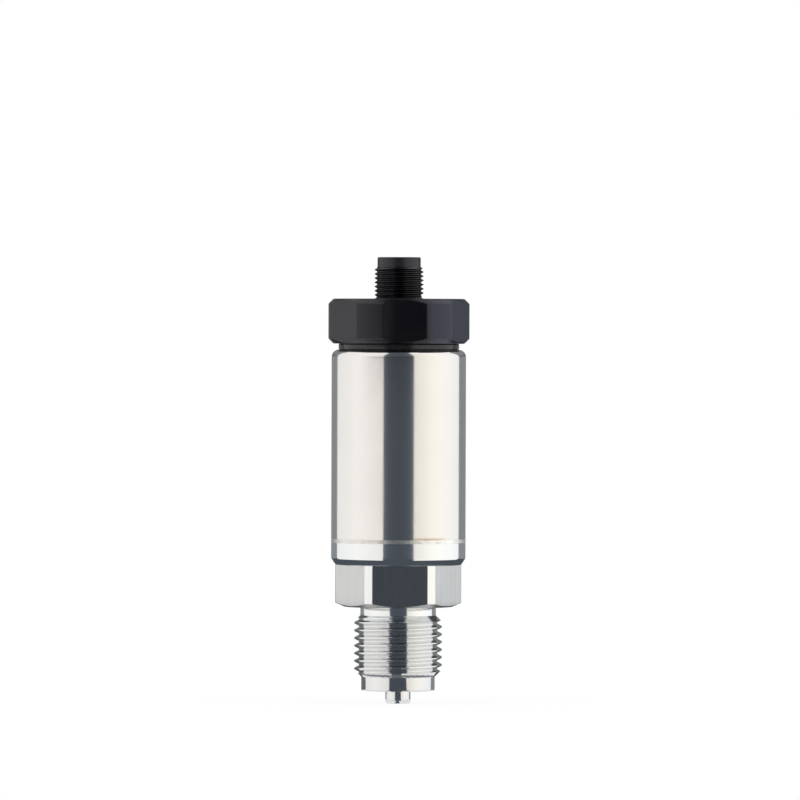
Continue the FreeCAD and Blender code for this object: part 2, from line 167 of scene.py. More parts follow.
def drawn_line(name, points, rounded=(), closed=True):
    """Draws (radius, height) points by extruding one vertex, then rounds the listed corners."""
    bpy.ops.object.select_all(action="DESELECT")
    bpy.ops.mesh.primitive_plane_add(size=1)
    piece = named(name)
    bpy.ops.object.mode_set(mode="EDIT")
    bpy.ops.mesh.select_all(action="SELECT")
    bpy.ops.mesh.merge(type="CENTER")
    bpy.ops.transform.translate(value=(points[0][0], 0, points[0][1]))
    path = list(points[1:])
    if closed:
        path.append(points[0])
    here = points[0]
    for there in path:
        move = (there[0] - here[0], 0, there[1] - here[1])
        bpy.ops.mesh.extrude_region_move(TRANSFORM_OT_translate={"value": move})
        here = there
    bpy.ops.mesh.select_all(action="SELECT")
    bpy.ops.mesh.remove_doubles(threshold=1e-4)
    for r, z, size, segments in rounded:
        corner = Vector((r, 0, z))
        pick(piece, lambda place: (place - corner).length < 0.01)
        bpy.ops.mesh.bevel(offset=size, segments=segments, affect="VERTICES")
    return piece


def heal(threshold=1e-4):
    """In edit mode, merges doubles and turns every face outwards."""
    bpy.ops.mesh.select_all(action="SELECT")
    bpy.ops.mesh.remove_doubles(threshold=threshold)
    bpy.ops.mesh.normals_make_consistent(inside=False)


def turned(name, points, rounded=(), steps=ROUND_STEPS):
    """A lathe piece: the drawn outline spun once round the axis."""
    piece = drawn_line(name, points, rounded)
    bpy.ops.mesh.select_all(action="SELECT")
    bpy.ops.mesh.spin(
        steps=steps, angle=FULL_TURN, center=(0, 0, 0), axis=(0, 0, 1), use_auto_merge=True)
    heal()
    bpy.ops.object.mode_set(mode="OBJECT")
    return piece


def combine(piece, other, operation):
    """Joins, cuts or intersects two closed shapes and throws the second away."""
    step = piece.modifiers.new("combine", "BOOLEAN")
    step.operation = operation
    step.solver = "MANIFOLD"
    step.object = other
    apply_step(piece, step)
    bpy.data.objects.remove(other)


def thread_line(major, pitch, flank, rounding, segments=4):
    """One pitch of a thread with round crests and roots, from root to root."""
    slope = math.radians(flank)
    widest = math.pi / 2 - slope
    crest_r = major / 2 - rounding
    straight = (pitch / 2 - 2 * rounding * math.cos(slope)) / math.tan(slope)
    root_r = crest_r - straight + 2 * rounding * math.sin(slope)
    points = []
    for k in range(segments + 1):
        angle = widest * k / segments
        points.append((root_r - rounding * math.cos(angle), rounding * math.sin(angle)))
    for k in range(-segments, segments + 1):
        angle = widest * k / segments
        points.append((crest_r + rounding * math.cos(angle), pitch / 2 + rounding * math.sin(angle)))
    for k in range(-segments, 1):
        angle = widest * k / segments
        points.append((root_r - rounding * math.cos(angle), pitch + rounding * math.sin(angle)))
    return points


def threaded_rod(name, thread, start, turns, low, high, steps):
    """A right-hand threaded rod, sawn off square at both ends."""
    points = [(r, z + start) for r, z in thread_line(**thread)]
    piece = drawn_line(name, points, closed=False)
    bpy.ops.object.mode_set(mode="OBJECT")
    wind = piece.modifiers.new("wind", "SCREW")
    wind.axis = "Z"
    wind.angle = FULL_TURN
    wind.screw_offset = thread["pitch"]
    wind.iterations = turns
    wind.steps = steps
    wind.render_steps = steps
    apply_step(piece, wind)
    bpy.ops.object.mode_set(mode="EDIT")
    heal(1e-3)
    for level, upper in ((low, False), (high, True)):
        bpy.ops.mesh.select_all(action="SELECT")
        bpy.ops.mesh.bisect(
            plane_co=(0, 0, level), plane_no=(0, 0, 1), use_fill=True,
            clear_outer=upper, clear_inner=not upper)
    heal()
    bpy.ops.object.mode_set(mode="OBJECT")
    return piece


def hexagon(name, across_flats, low, high, turn):
    """A hexagonal prism with one flat towards the front before it is turned."""
    bpy.ops.object.select_all(action="DESELECT")
    bpy.ops.mesh.primitive_cylinder_add(
        vertices=6, radius=across_flats / math.sqrt(3), depth=high - low,
        location=(0, 0, (low + high) / 2), rotation=(0, 0, math.radians(30 + turn)))
    piece = named(name)
    apply_place(piece)
    return piece


def soften(piece, width, segments, angle):
    """Breaks the edges of a piece that are sharper than an angle."""
    edge = piece.modifiers.new("edge", "BEVEL")
    edge.width = width
    edge.segments = segments
    edge.limit_method = "ANGLE"
    edge.angle_limit = math.radians(angle)
    edge.use_clamp_overlap = True
    edge.miter_outer = "MITER_ARC"
    apply_step(piece, edge)


def tidy_flats(piece):
    """Turns the triangles that a cut leaves on flat faces back into whole faces."""
    only(piece)
    bpy.ops.object.mode_set(mode="EDIT")
    heal()
    bpy.ops.mesh.select_all(action="SELECT")
    bpy.ops.mesh.dissolve_limited(angle_limit=math.radians(0.3))
    bpy.ops.object.mode_set(mode="OBJECT")


def copied(piece, name, place):
    """A copy of a piece with a mesh of its own, moved to its place."""
    only(piece)
    bpy.ops.object.duplicate()
    twin = named(name)
    twin.location = place
    apply_place(twin)
    return twin


def finish_piece(piece, material, node, smooth=32.0):
    """Smooths the shading, brings the piece to metres and puts it in its node's place."""
    only(piece)
    bpy.ops.object.shade_smooth_by_angle(angle=math.radians(smooth))
    weighted = piece.modifiers.new("weighted", "WEIGHTED_NORMAL")
    weighted.keep_sharp = True
    apply_step(piece, weighted)
    piece.scale = (MM, MM, MM)
    apply_place(piece)
    piece.data.materials.clear()
    piece.data.materials.append(material)
    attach(piece, "root")
    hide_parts(node)


def make_camera():
    """A distant camera with a long lens, nearly level with the object."""
    data = bpy.data.cameras.new("camera")
    camera = bpy.data.objects.new("camera", data)
    bpy.context.scene.collection.objects.link(camera)
    bpy.context.scene.camera = camera
    elevation = math.radians(CAMERA_ELEVATION)
    towards_camera = outwards(CAMERA_AZIMUTH) * math.cos(elevation) + UP * math.sin(elevation)
    aim = outwards(CAMERA_AZIMUTH + 90) * PICTURE_MIDDLE[0] + UP * PICTURE_MIDDLE[1]
    camera.location = aim + towards_camera * CAMERA_DISTANCE
    level_turn = (-towards_camera).to_track_quat("-Z", "Y")
    camera.rotation_mode = "QUATERNION"
    camera.rotation_quaternion = level_turn @ Quaternion((0, 0, 1), math.radians(CAMERA_ROLL))
    data.sensor_width = SENSOR_WIDTH
    data.lens = SENSOR_WIDTH * CAMERA_DISTANCE / PICTURE_WIDTH
    data.clip_start = 0.01
    data.clip_end = 20.0


make_camera()


# Node helpers
def place_node(tree, kind, **settings):
    """A new node with its sockets and settings filled in."""
    node = tree.nodes.new(kind)
    for key, value in settings.items():
        if key in node.inputs:
            node.inputs[key].default_value = value
        else:
            setattr(node, key, value)
    return node


def put(tree, value, socket):
    """Gives a socket another node's output, a colour or a number."""
    if isinstance(value, bpy.types.NodeSocket):
        tree.links.new(value, socket)
    elif isinstance(value, tuple):
        socket.default_value = value + (1.0,)
    else:
        socket.default_value = value


def math_node(tree, operation, first, second=0.0, clamp=False):
    """One step of arithmetic."""
    node = place_node(tree, "ShaderNodeMath", operation=operation, use_clamp=clamp)
    put(tree, first, node.inputs[0])
    put(tree, second, node.inputs[1])
    return node.outputs[0]


def times(tree, first, second, clamp=False):
    return math_node(tree, "MULTIPLY", first, second, clamp)


def plus(tree, first, second, clamp=False):
    return math_node(tree, "ADD", first, second, clamp)


def minus(tree, first, second):
    return math_node(tree, "SUBTRACT", first, second)


def span(tree, value, low, high, to_low=0.0, to_high=1.0, smooth=True):
    """Maps a value between two limits, smoothly, onto two others."""
    kind = "SMOOTHSTEP" if smooth else "LINEAR"
    node = place_node(tree, "ShaderNodeMapRange", interpolation_type=kind)
    put(tree, value, node.inputs["Value"])
    put(tree, low, node.inputs["From Min"])
    put(tree, high, node.inputs["From Max"])
    put(tree, to_low, node.inputs["To Min"])
    put(tree, to_high, node.inputs["To Max"])
    return node.outputs[0]


def between(tree, mask, first, second):
    """Goes straight from one value to another as a mask goes from 0 to 1."""
    return span(tree, mask, 0.0, 1.0, first, second, smooth=False)


def vector_node(tree, operation, vector, other=(0, 0, 0)):
    """One step of vector arithmetic. Returns its node."""
    node = place_node(tree, "ShaderNodeVectorMath", operation=operation)
    tree.links.new(vector, node.inputs[0])
    node.inputs[1].default_value = other
    return node


def reach_towards(tree, vector, degrees):
    """How far out a place lies in one level direction."""
    return vector_node(tree, "DOT_PRODUCT", vector, outwards(degrees)).outputs["Value"]


def stretched(tree, vector, factors):
    """A place with each axis scaled by its own factor."""
    return vector_node(tree, "MULTIPLY", vector, factors).outputs["Vector"]


def length_of(tree, vector):
    return vector_node(tree, "LENGTH", vector).outputs["Value"]


def axis_distance(tree, vector):
    """How far a place lies from the object's axis."""
    return length_of(tree, stretched(tree, vector, (1.0, 1.0, 0.0)))


def axes(tree, vector):
    """The X, Y and Z of a place."""
    node = tree.nodes.new("ShaderNodeSeparateXYZ")
    tree.links.new(vector, node.inputs[0])
    return node.outputs


def noise(tree, vector, scale, detail=2.0, roughness=0.5, distortion=0.0):
    """Cloudy noise, from 0 to 1."""
    node = place_node(
        tree, "ShaderNodeTexNoise", Detail=detail, Roughness=roughness, Distortion=distortion)
    tree.links.new(vector, node.inputs["Vector"])
    put(tree, scale, node.inputs["Scale"])
    return node.outputs[0]


def tint(tree, mask, first, second, share=1.0):
    """Mixes two colours, or nodes that give colours, by a share of a mask."""
    node = place_node(tree, "ShaderNodeMix", data_type="RGBA")
    put(tree, mask if share == 1.0 else times(tree, mask, share), node.inputs[0])
    put(tree, first, node.inputs[6])
    put(tree, second, node.inputs[7])
    return node.outputs[2]


def mix_shaders(tree, mask, first, second):
    """Goes from one shader to another as a mask goes from 0 to 1."""
    mix = tree.nodes.new("ShaderNodeMixShader")
    tree.links.new(mask, mix.inputs[0])
    tree.links.new(first, mix.inputs[1])
    tree.links.new(second, mix.inputs[2])
    return mix.outputs[0]


def new_group(name, values, outputs):
    """An empty node group that takes a place and named values. Returns it and its inner sockets."""
    tree = bpy.data.node_groups.new(name, "ShaderNodeTree")
    tree.interface.new_socket("Vector", in_out="INPUT", socket_type="NodeSocketVector")
    for label, value in values.items():
        socket = tree.interface.new_socket(label, in_out="INPUT", socket_type="NodeSocketFloat")
        socket.default_value = value
    for label in outputs:
        tree.interface.new_socket(label, in_out="OUTPUT", socket_type="NodeSocketFloat")
    given = tree.nodes.new("NodeGroupInput").outputs
    result = tree.nodes.new("NodeGroupOutput").inputs
    return tree, given, result


def lathe_marks_group():
    """Fine rings that a turning tool leaves, with slow changes round the piece."""
    tree, given, result = new_group(
        "lathe marks", {"Lines per mm": 6.0, "Unevenness": 0.4}, ("Height", "Streak"))
    vector = given["Vector"]
    # On a wall the rings follow the height, and on a face across the axis the radius.
    along = plus(tree, axes(tree, vector)["Z"], times(tree, axis_distance(tree, vector), 0.83))
    lines = times(tree, times(tree, along, 1 / MM), given["Lines per mm"])
    rings = place_node(
        tree, "ShaderNodeTexNoise", noise_dimensions="1D", Scale=1.0, Detail=3.0, Roughness=0.7)
    tree.links.new(lines, rings.inputs["W"])
    slow = minus(tree, noise(tree, vector, 140.0), 0.5)
    depth = plus(tree, times(tree, slow, given["Unevenness"]), 1.0)
    put(tree, times(tree, rings.outputs[0], depth), result["Height"])
    put(tree, span(tree, rings.outputs[0], 0.35, 0.65), result["Streak"])
    return tree


def handling_group():
    """Soft patches that wiping and handling leave on a clean surface."""
    tree, given, result = new_group("handling", {"Scale": 90.0}, ("Patches", "Specks"))
    vector = given["Vector"]
    wide = noise(tree, vector, given["Scale"], 3.0, 0.55, 0.6)
    put(tree, span(tree, wide, 0.4, 0.66), result["Patches"])
    fine = noise(tree, vector, times(tree, given["Scale"], 26.0), 2.0, 0.6)
    put(tree, span(tree, fine, 0.62, 0.74), result["Specks"])
    return tree


def moulded_skin_group():
    """The fine eroded skin of a moulded part, with a slower waviness under it."""
    tree, given, result = new_group("moulded skin", {"Grain": 9000.0}, ("Height", "Mottle"))
    vector = given["Vector"]
    fine = noise(tree, vector, given["Grain"], 2.0, 0.6)
    wave = noise(tree, vector, 160.0, 1.0)
    put(tree, plus(tree, fine, times(tree, wave, 2.0)), result["Height"])
    mottle = noise(tree, vector, 420.0, 3.0, 0.6)
    put(tree, span(tree, mottle, 0.38, 0.64), result["Mottle"])
    return tree


def weld_heat_group():
    """Heat tint beside the weld, strongest where the weld run ends over its start."""
    tree, given, result = new_group(
        "weld heat", {"Level": (WELD_LEVEL + 0.6) * MM, "Reach": 0.65 * MM}, ("Heat", "Hot core"))
    vector = given["Vector"]
    offset = minus(tree, axes(tree, vector)["Z"], given["Level"])
    waver = times(tree, minus(tree, noise(tree, vector, 420.0), 0.5), 0.5 * MM)
    distance = math_node(tree, "ABSOLUTE", plus(tree, offset, waver))
    near = span(tree, distance, given["Reach"], 0.15 * MM)
    facing = span(tree, reach_towards(tree, vector, WELD_OVERLAP_TURN), 15.1 * MM, 15.95 * MM)
    patches = span(tree, noise(tree, vector, 130.0), 0.46, 0.66)
    where = plus(tree, facing, times(tree, patches, 0.10), clamp=True)
    put(tree, times(tree, near, where, clamp=True), result["Heat"])
    core = span(tree, distance, 0.25 * MM, 0.05 * MM)
    put(tree, times(tree, core, where, clamp=True), result["Hot core"])
    return tree


def milled_flats_and_underside_shade_group():
    """The steel hexagon's faces with the cutter's upright streaks, and a mask for the painted shade on
    its bevelled underside.
    """
    tree, given, result = new_group(
        "milled flats and underside shade", {"Half width": HEX_FLATS / 2 * MM}, ("Flat", "Streak", "Painted underside shade"))
    vector = given["Vector"]
    reach = 0.0
    for degrees in (0, 60, 120):
        across = math_node(tree, "ABSOLUTE", reach_towards(tree, vector, degrees))
        reach = math_node(tree, "MAXIMUM", across, reach)
    on_face = math_node(tree, "GREATER_THAN", plus(tree, reach, 0.03 * MM), given["Half width"])
    level = axes(tree, vector)["Z"]
    below_top = math_node(tree, "LESS_THAN", level, (HEX_TOP + 0.01) * MM)
    put(tree, times(tree, on_face, below_top), result["Flat"])
    streaks = noise(tree, stretched(tree, vector, (1.0, 1.0, 0.03)), 1500.0, 3.0, 0.6)
    put(tree, span(tree, streaks, 0.35, 0.65), result["Streak"])
    # Painted shade: marks the hexagon's bevelled underside to be darkened.
    radius = axis_distance(tree, vector)
    beyond = math_node(tree, "MAXIMUM", minus(tree, radius, BEVEL_START * MM), 0.0)
    above_bevel = minus(tree, level, times(tree, beyond, BEVEL_SLOPE))
    low = math_node(tree, "LESS_THAN", above_bevel, 0.04 * MM)
    high = math_node(tree, "GREATER_THAN", level, -0.15 * MM)
    outer = span(tree, radius, 11.2 * MM, 12.0 * MM, 0.4, 1.0)
    put(tree, times(tree, times(tree, low, high), outer), result["Painted underside shade"])
    return tree


LATHE_MARKS = lathe_marks_group()
HANDLING = handling_group()
MOULDED_SKIN = moulded_skin_group()
WELD_HEAT = weld_heat_group()
MILLED_FLATS_AND_UNDERSIDE_SHADE = milled_flats_and_underside_shade_group()

# Colours that a material shows only in places, some of them painted light or shade
HEAT_STRAW = (0.58, 0.43, 0.30)
HEAT_BROWN = (0.36, 0.24, 0.15)
# Painted light: brighter steel for the stem above its thread
STEEL_PAINTED_BRIGHT = (0.91, 0.925, 0.935)
MILLED_STEEL = (0.625, 0.63, 0.625)
MILLED_PALE = (0.66, 0.665, 0.66)
# Painted shade: darker steel for the hexagon's bevelled underside
UNDERSIDE_PAINTED_SHADE = (0.46, 0.46, 0.465)
BEAD_LEFT = (0.84, 0.825, 0.80)
# Painted light: the weld bead's paler right side
BEAD_PAINTED_LIGHT_RIGHT = (0.97, 0.96, 0.95)
BEAD_DULL = (0.72, 0.70, 0.68)
BEAD_STRAW = (0.56, 0.42, 0.30)
# Painted sheen of the black cap: blue on its right side, and paler grey on the left of its front face
CAP_PAINTED_BLUE_SHEEN = (0.0098, 0.0125, 0.0265)
CAP_PAINTED_GREY_SHEEN = (0.0095, 0.009, 0.0105)
TIP_BLACK = (0.009, 0.0085, 0.0125)
BOARD_GREEN = (0.010, 0.085, 0.030)
BOARD_PALE = (0.016, 0.125, 0.045)
BOARD_DARK = (0.008, 0.070, 0.026)


def start_material(name, metallic=0.0, **sockets):
    """A new material with Object coordinates. Returns it, its tree, the shader and the coordinates."""
    material = bpy.data.materials.new(name)
    material.use_nodes = True
    tree = material.node_tree
    shader = tree.nodes["Principled BSDF"]
    shader.inputs["Metallic"].default_value = metallic
    for label, value in sockets.items():
        shader.inputs[label.replace("_", " ")].default_value = value
    place = tree.nodes.new("ShaderNodeTexCoord").outputs["Object"]
    return material, tree, shader, place


def use_group(tree, group, vector, **values):
    """Places a node group, sets its values and returns its outputs."""
    node = tree.nodes.new("ShaderNodeGroup")
    node.node_tree = group
    tree.links.new(vector, node.inputs["Vector"])
    for label, value in values.items():
        node.inputs[label.replace("_", " ")].default_value = value
    return node.outputs


def feed_shader(tree, shader, base, gloss, height, strength, depth):
    """Gives the shader its colour, its roughness and its bump."""
    tree.links.new(base, shader.inputs["Base Color"])
    tree.links.new(gloss, shader.inputs["Roughness"])
    bump = place_node(tree, "ShaderNodeBump", Strength=strength, Distance=depth)
    tree.links.new(height, bump.inputs["Height"])
    tree.links.new(bump.outputs[0], shader.inputs["Normal"])


def weld_tint(tree, place, base, gloss, height):
    """Straw and brown on the steel beside the weld."""
    weld = use_group(tree, WELD_HEAT, place)
    base = tint(tree, weld["Heat"], base, HEAT_STRAW, 0.5)
    base = tint(tree, weld["Hot core"], base, HEAT_BROWN, 0.4)
    gloss = plus(tree, gloss, times(tree, weld["Heat"], 0.06))
    return base, gloss, height


def milled_hexagon_and_painted_light(tree, place, base, gloss, height):
    """Painted light and shade on the stem: brighter steel above the thread and a darker bevelled
    underside. Also the hexagon's streaked faces.
    """
    milled = use_group(tree, MILLED_FLATS_AND_UNDERSIDE_SHADE, place)
    flat = milled["Flat"]
    # Painted light: the steel above the thread is made brighter than the thread below it.
    painted_light_above_thread = span(tree, axes(tree, place)["Z"], -3.2 * MM, -2.8 * MM)
    base = tint(tree, painted_light_above_thread, base, STEEL_PAINTED_BRIGHT, 0.85)
    base = tint(tree, flat, base, tint(tree, milled["Streak"], MILLED_STEEL, MILLED_PALE))
    # Painted shade: the bevelled underside is made darker and duller.
    base = tint(tree, milled["Painted underside shade"], base, UNDERSIDE_PAINTED_SHADE)
    gloss = plus(tree, gloss, times(tree, flat, 0.08))
    gloss = plus(tree, gloss, times(tree, milled["Painted underside shade"], 0.12))
    height = between(tree, flat, height, times(tree, milled["Streak"], 0.35))
    return base, gloss, height


def steel(name, colour, smooth, rough, lines, depth, finishes=()):
    """Turned or ground stainless steel with tool rings and faint handling patches."""
    material, tree, shader, place = start_material(name, metallic=1.0)
    marks = use_group(tree, LATHE_MARKS, place, Lines_per_mm=lines)
    touch = use_group(tree, HANDLING, place, Scale=70.0)
    dull = scaled(colour, 0.93)
    base = tint(tree, marks["Streak"], colour, dull, 0.35)
    base = tint(tree, touch["Patches"], base, dull, 0.25)
    gloss = between(tree, marks["Streak"], smooth, rough)
    gloss = plus(tree, gloss, times(tree, touch["Patches"], 0.03))
    height = marks["Height"]
    for finish in finishes:
        base, gloss, height = finish(tree, place, base, gloss, height)
    feed_shader(tree, shader, base, gloss, height, 0.5, depth)
    return material


def weld_metal():
    """The bead's own ripples, a painted lighter right half and a little straw colour."""
    material, tree, shader, place = start_material("weld metal", metallic=1.0)
    weld = use_group(tree, WELD_HEAT, place, Level=(WELD_LEVEL - 0.3) * MM)
    touch = use_group(tree, HANDLING, place, Scale=500.0)
    # Painted light: the bead goes from its own colour on the left to a paler one on the right.
    painted_light_to_right = span(tree, axes(tree, place)["X"], -9.0 * MM, 3.0 * MM)
    base = tint(tree, painted_light_to_right, BEAD_LEFT, BEAD_PAINTED_LIGHT_RIGHT)
    base = tint(tree, touch["Patches"], base, BEAD_DULL, 0.4)
    base = tint(tree, weld["Heat"], base, BEAD_STRAW, 0.12)
    gloss = span(tree, touch["Patches"], 0.0, 1.0, 0.34, 0.46)
    feed_shader(tree, shader, base, gloss, noise(tree, place, 2600.0), 0.4, 0.03 * MM)
    return material


def cap_painted_sheen_and_matt_tip(tree, place, base, gloss):
    """Painted sheen that stands in for reflected light: the cap's bluish right side and the paler left
    of its front face. Also the plug's matt tip.
    """
    x, _, z = axes(tree, place)
    # Painted reflection: the cap's right side, below its top, is tinted blue.
    painted_light_to_right = span(tree, x, 5.8 * MM, 8.0 * MM)
    below_top = span(tree, z, (CAP_TOP - 0.1) * MM, (CAP_TOP - 0.6) * MM)
    base = tint(tree, times(tree, painted_light_to_right, below_top), base, CAP_PAINTED_BLUE_SHEEN)
    reach = reach_towards(tree, place, CAP_TURN)
    on_front = math_node(tree, "GREATER_THAN", reach, (CAP_FLATS / 2 - 0.05) * MM)
    # Painted highlight: the left of the front face is made paler grey.
    painted_sheen_to_left = span(tree, x, -0.6 * MM, -4.4 * MM)
    base = tint(tree, times(tree, on_front, painted_sheen_to_left), base, CAP_PAINTED_GREY_SHEEN)
    at_tip = span(tree, z, (MATT_TIP - 0.1) * MM, (MATT_TIP + 0.1) * MM)
    base = tint(tree, at_tip, base, TIP_BLACK)
    gloss = between(tree, at_tip, gloss, 0.34)
    return base, gloss


def moulded(name, colour, worn, smooth, rough, grain=9000.0, depth=0.012 * MM, finish=None, **sockets):
    """Moulded plastic, rubber or ceramic: a fine skin, slight mottle and pale specks."""
    material, tree, shader, place = start_material(name, **sockets)
    skin = use_group(tree, MOULDED_SKIN, place, Grain=grain)
    touch = use_group(tree, HANDLING, place, Scale=80.0)
    base = tint(tree, skin["Mottle"], colour, worn, 0.5)
    base = tint(tree, touch["Specks"], base, worn, 0.3)
    gloss = between(tree, touch["Patches"], smooth, rough)
    if finish:
        base, gloss = finish(tree, place, base, gloss)
    feed_shader(tree, shader, base, gloss, skin["Height"], 0.5, depth)
    return material


def laminate():
    """Green board: the glass weave shows faintly through the lacquer."""
    material, tree, shader, place = start_material(
        "green laminate", Coat_Weight=0.35, Coat_Roughness=0.2)
    x, _, z = axes(tree, place)
    waves = FULL_TURN / (0.6 * MM)
    across, upwards = (math_node(tree, "SINE", times(tree, part, waves)) for part in (x, z))
    weave = times(tree, across, upwards)
    touch = use_group(tree, HANDLING, place, Scale=200.0)
    base = tint(tree, span(tree, weave, -0.6, 0.6), BOARD_GREEN, BOARD_PALE)
    base = tint(tree, touch["Patches"], base, BOARD_DARK, 0.4)
    gloss = span(tree, touch["Patches"], 0.0, 1.0, 0.34, 0.46)
    feed_shader(tree, shader, base, gloss, weave, 0.2, 0.01 * MM)
    return material


def plated(name, colour, dark, smooth, rough):
    """Plated or sprung metal with fine drawn lines and slight tarnish."""
    material, tree, shader, place = start_material(name, metallic=1.0)
    touch = use_group(tree, HANDLING, place, Scale=600.0)
    marks = use_group(tree, LATHE_MARKS, place, Lines_per_mm=14.0)
    base = tint(tree, touch["Patches"], colour, dark, 0.6)
    gloss = span(tree, touch["Patches"], 0.0, 1.0, smooth, rough)
    feed_shader(tree, shader, base, gloss, marks["Height"], 0.3, 0.004 * MM)
    return material


# Materials: colours, roughness where smooth and where rough, then tool lines or grain, and depth
STEM_STEEL = steel(
    "stem steel", (0.82, 0.825, 0.83), 0.05, 0.10, 7.0, 0.003 * MM, (weld_tint, milled_hexagon_and_painted_light))
HOUSING_STEEL = steel(
    "housing steel", (0.875, 0.855, 0.84), 0.07, 0.12, 12.0, 0.002 * MM, (weld_tint,))
INNER_STEEL = steel("inner steel", (0.66, 0.65, 0.63), 0.18, 0.30, 6.0, 0.01 * MM)
WELD_METAL = weld_metal()
CAP_PLASTIC = moulded(
    "cap plastic", (0.0012, 0.0008, 0.0022), (0.0024, 0.0018, 0.0034), 0.23, 0.29,
    finish=cap_painted_sheen_and_matt_tip, Specular_Tint=(0.93, 0.92, 1.0, 1.0))
NECK_RUBBER = moulded(
    "neck rubber", (0.013, 0.0125, 0.0145), (0.018, 0.0175, 0.019), 0.14, 0.20, 5000.0)
INSERT_PLASTIC = moulded(
    "insert plastic", (0.018, 0.018, 0.020), (0.030, 0.030, 0.032), 0.42, 0.52)
SEAL_RUBBER = moulded(
    "seal rubber", (0.016, 0.016, 0.016), (0.030, 0.030, 0.029), 0.55, 0.70, 5000.0)
CERAMIC = moulded(
    "cell ceramic", (0.74, 0.73, 0.69), (0.66, 0.64, 0.60), 0.50, 0.62, 14000.0, 0.006 * MM)
PALE_PLASTIC = moulded("thrust plastic", (0.60, 0.57, 0.48), (0.52, 0.49, 0.41), 0.42, 0.55)
GREY_PLASTIC = moulded(
    "carrier plastic", (0.064, 0.064, 0.069), (0.085, 0.085, 0.090), 0.45, 0.58)
CHIP_PLASTIC = moulded(
    "chip plastic", (0.006, 0.006, 0.006), (0.012, 0.012, 0.012), 0.48, 0.60, 16000.0)
CHIP_CERAMIC = moulded(
    "resistor ceramic", (0.009, 0.009, 0.010), (0.060, 0.058, 0.055), 0.30, 0.45, 12000.0)
FERRITE = moulded(
    "choke ferrite", (0.022, 0.022, 0.024), (0.040, 0.039, 0.038), 0.52, 0.66, 8000.0)
RESIN = moulded(
    "capacitor resin", (0.52, 0.26, 0.022), (0.44, 0.21, 0.018), 0.32, 0.44, 10000.0)
FILM = moulded("sleeve film", (0.64, 0.57, 0.34), (0.56, 0.50, 0.30), 0.24, 0.34, 6000.0)
LAMINATE = laminate()
BRASS = plated("spring brass", (0.60, 0.42, 0.13), (0.44, 0.29, 0.09), 0.24, 0.36)
SPRING_STEEL = plated("spring steel", (0.20, 0.20, 0.21), (0.12, 0.12, 0.13), 0.28, 0.42)
GOLD = plated("contact gold", (0.80, 0.56, 0.20), (0.66, 0.44, 0.15), 0.14, 0.26)

# What each node is made of. Nodes that differ only by a number at the end share one entry.
NODE_MATERIALS = {
    "cell_o_ring": SEAL_RUBBER, "carrier_seal": SEAL_RUBBER, "ceramic_cell": CERAMIC,
    "cell_thrust_ring": PALE_PLASTIC, "retaining_ring": INNER_STEEL, "board_carrier": GREY_PLASTIC,
    "main_board": LAMINATE, "connector_board": LAMINATE, "signal_processor": CHIP_PLASTIC,
    "output_chip": CHIP_PLASTIC, "memory_chip": CHIP_PLASTIC, "voltage_regulator": CHIP_PLASTIC,
    "surge_diode": CHIP_PLASTIC, "chip_resistors": CHIP_CERAMIC, "filter_choke": FERRITE,
    "tantalum_capacitor": RESIN, "earth_spring": BRASS, "insulating_sleeve": FILM,
    "cap_circlip": SPRING_STEEL, "cell_pin": GOLD, "contact_pin": GOLD,
    "contact_carrier": INSERT_PLASTIC, "neck_seal": NECK_RUBBER, "hex_cap": CAP_PLASTIC,
    "housing_tube": HOUSING_STEEL, "process_connection": STEM_STEEL, "weld_seam": WELD_METAL}
for node_name, node_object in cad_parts.items():
    kind = node_name if node_name in NODE_MATERIALS else node_name.rstrip("0123456789").rstrip("_")
    node_object.data.materials.clear()
    node_object.data.materials.append(NODE_MATERIALS[kind])


def stem_core():
    """Spigot, pilot, the core under the thread and the relief behind it."""
    return turned("stem", [
        (0, SPIGOT_END), (SPIGOT_R, SPIGOT_END), (SPIGOT_R, PILOT_END), (PILOT_R, PILOT_END),
        (PILOT_R, -16.3), (STEM_CORE_R, -16.1), (STEM_CORE_R, -3.0), (9.0, -2.9), (9.0, 1.0), (0, 1.0)],
        rounded=((SPIGOT_R, SPIGOT_END, 0.25, 3), (PILOT_R, PILOT_END, 0.4, 4)))


def stem_thread():
    """The pipe thread, with a chamfer at each end."""
    blank = turned("blank", [
        (0, -17.1), (8.35, -17.1), (10.6, -14.85), (10.6, -3.65), (8.65, -1.7), (0, -1.7)])
    thread = threaded_rod(
        "thread", STEM_THREAD, STEM_THREAD_START, STEM_THREAD_TURNS, -17.5, -1.4, 144)
    combine(thread, blank, "INTERSECT")
    return thread


def stem_hexagon():
    """The spanner hexagon with its turned corners and the bevel on its underside."""
    nut = hexagon("nut", HEX_FLATS, 0, HEX_TOP, 0)
    bevel_top = (HEX_CORNER_R - BEVEL_START) * BEVEL_SLOPE
    facing = turned("facing", [
        (0, 0), (BEVEL_START, 0), (HEX_CORNER_R, bevel_top), (HEX_CORNER_R, HEX_TOP), (0, HEX_TOP)])
    combine(nut, facing, "INTERSECT")
    tidy_flats(nut)
    soften(nut, 0.14, 2, 12)
    return nut


def stem_collar():
    """The collar on its cone, with half of the weld's groove and the register for the tube."""
    return turned("collar", [
        (0, 5.0), (12.0, 5.0), (12.0, HEX_TOP), (HEX_CORNER_R, HEX_TOP), (TUBE_R, CONE_TOP),
        (TUBE_R, WELD_LEVEL - GROOVE_DEPTH), (GROOVE_FOOT_R, WELD_LEVEL), (REGISTER_R, WELD_LEVEL),
        (REGISTER_R, REGISTER_TOP - 0.25), (REGISTER_R - 0.25, REGISTER_TOP), (0, REGISTER_TOP)],
        rounded=((HEX_CORNER_R, HEX_TOP, 0.12, 2), (TUBE_R, CONE_TOP, 0.25, 3)))


